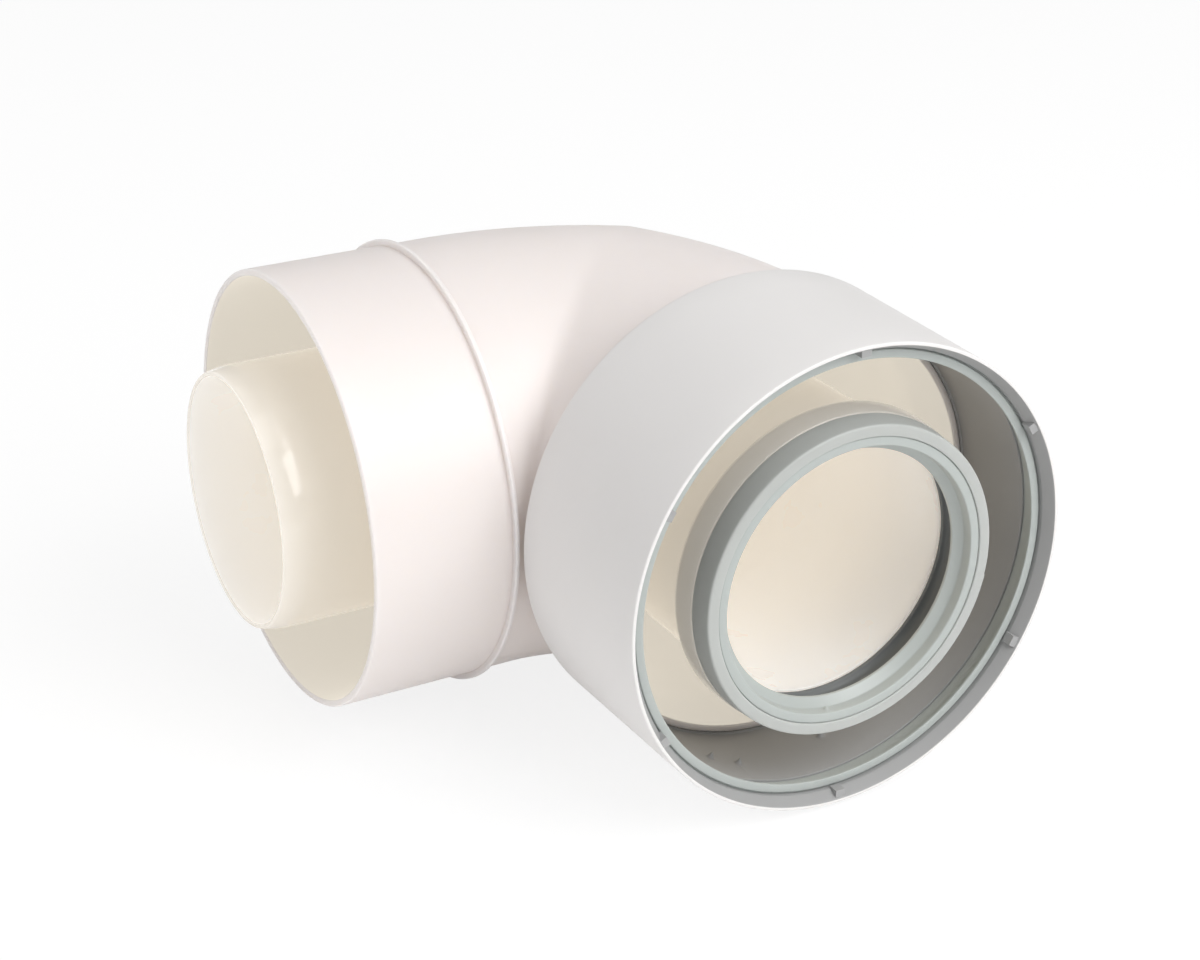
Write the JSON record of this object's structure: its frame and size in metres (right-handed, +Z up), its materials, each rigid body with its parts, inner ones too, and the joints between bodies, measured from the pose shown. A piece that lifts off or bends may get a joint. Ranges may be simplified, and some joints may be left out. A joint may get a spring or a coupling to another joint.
{
  "type": "concentric flue elbow",
  "caption": "Right-angle concentric flue elbow: a white air pipe round a flue pipe, a plain spigot end with a stop bead, and a grey socket end with lip seals.",
  "frame": {"origin": "centre of the outer spigot's stop face, where the next outer pipe's rim comes to rest", "axes": "-X out of the spigot end along both pipes; -Y out of the socket end, whose axis is 55 mm along +X; +Z up, square to the plane of the bend"},
  "size_m": [0.1531, 0.1498, 0.108],
  "materials": {
    "outer_pipe": "white polypropylene, satin, slightly translucent",
    "socket_collar": "light grey moulded polypropylene, satin",
    "inner_pipe": "cream white polypropylene, glossy, translucent",
    "cap": "grey moulded plastic, satin",
    "seal_rubber": "grey-green silicone, smooth, slightly translucent",
    "spacer": "white moulded plastic"
  },
  "bodies": {
    "root": {"outer_elbow": "outer_pipe", "outer_socket": "socket_collar", "outer_seal": "seal_rubber", "inner_elbow": "inner_pipe", "inner_seal": "seal_rubber", "seal_cap": "cap", "centring_spacer": "spacer"}
  },
  "joints": []
}
